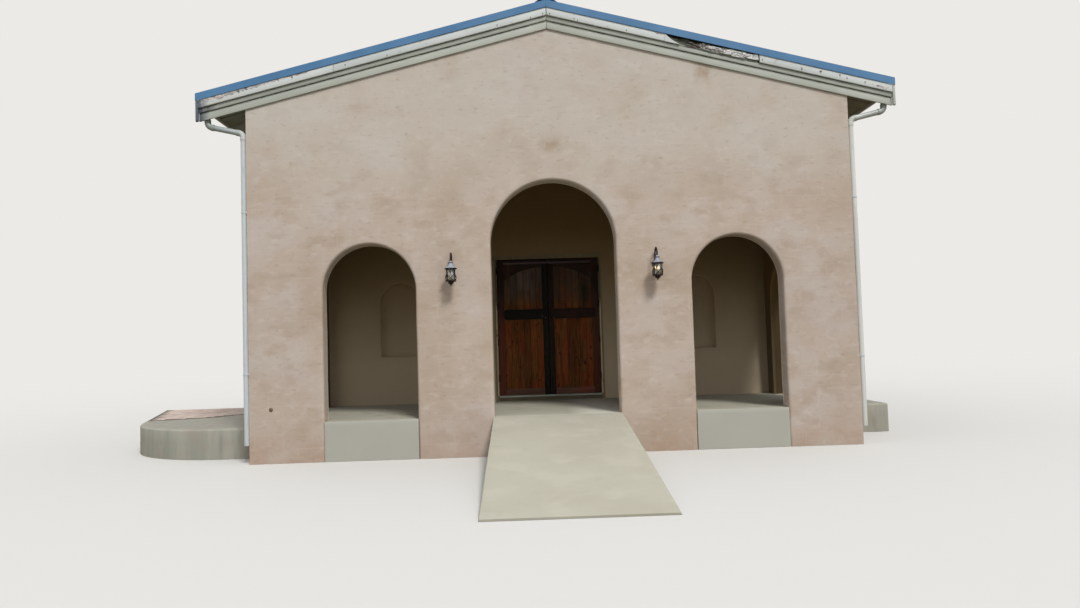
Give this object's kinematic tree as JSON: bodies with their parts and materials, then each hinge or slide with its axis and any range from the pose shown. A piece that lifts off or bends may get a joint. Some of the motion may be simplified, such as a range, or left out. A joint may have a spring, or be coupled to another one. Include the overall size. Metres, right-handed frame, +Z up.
{
  "type": "small chapel",
  "caption": "Gabled stucco chapel with an arcaded porch, outward-opening wooden doors, wall lanterns, a ribbed metal roof and an entrance ramp.",
  "frame": {"origin": "on the underside of the front wall, at the middle of its length and thickness, level with the lowest ground", "axes": "+X to the right along the front as seen from outside, +Y into the building, +Z up"},
  "size_m": [13.0122, 17.154, 6.5718],
  "materials": {
    "stucco": "hand-trowelled cement stucco, mottled",
    "concrete": "floated concrete, weathered",
    "ceiling_board": "painted boards",
    "deck_wood": "sawn boards",
    "roof_metal": "baked blue paint on ribbed steel",
    "trim_wood": "peeling white paint on softwood boards",
    "soffit_board": "painted boards",
    "gutter_metal": "baked white paint",
    "frame_wood": "painted softwood",
    "door_wood": "stained and varnished planks",
    "door_iron": "blackened",
    "lantern_metal": "bronze-brown paint",
    "lantern_glass": "clear",
    "window_frame": "painted softwood",
    "window_glass": "clear float glass"
  },
  "bodies": {
    "building": {"front_wall": "stucco", "porch_end_wall_left": "stucco", "porch_end_wall_right": "stucco", "back_wall_left": "stucco", "back_wall_right": "stucco", "back_wall_over_door": "stucco", "side_wall_left": "stucco", "side_wall_right": "stucco", "rear_wall": "stucco", "floor_slab": "concrete", "ceiling": "ceiling_board", "roof_deck_left": "deck_wood", "roof_deck_right": "deck_wood", "roof_sheet_left": "roof_metal", "roof_sheet_right": "roof_metal", "ridge_cap": "roof_metal", "rake_trim_left": "roof_metal", "rake_trim_right": "roof_metal", "rake_boards_left": "trim_wood", "rake_boards_right": "trim_wood", "eave_board_left": "trim_wood", "eave_board_right": "trim_wood", "soffit_left": "soffit_board", "soffit_right": "soffit_board", "gutter_left": "gutter_metal", "gutter_right": "gutter_metal", "downspout_left": "gutter_metal", "downspout_right": "gutter_metal", "door_jamb_left": "frame_wood", "door_jamb_right": "frame_wood", "door_head": "frame_wood", "door_threshold": "concrete", "frame_hinges": "door_iron", "lantern_left": "lantern_metal", "lantern_right": "lantern_metal", "lantern_glass_left": "lantern_glass", "lantern_glass_right": "lantern_glass", "window_frames": "window_frame", "window_glass": "window_glass", "ramp": "concrete", "stoop_left": "concrete", "stoop_right": "concrete"},
    "door_left": {"door_leaf_left": "door_wood", "leaf_hinges_left": "door_iron", "door_pull_left": "door_iron"},
    "door_right": {"door_leaf_right": "door_wood", "leaf_hinges_right": "door_iron", "door_pull_right": "door_iron"}
  },
  "joints": [
    {"name": "door_left_hinge", "type": "hinge", "parent": "building", "child": "door_left", "pos_m": [-0.9125, 2.783, 1.8], "axis": [0, 0, -1], "range_deg": [0, 165]},
    {"name": "door_right_hinge", "type": "hinge", "parent": "building", "child": "door_right", "pos_m": [0.9125, 2.783, 1.8], "axis": [0, 0, 1], "range_deg": [0, 165]}
  ]
}
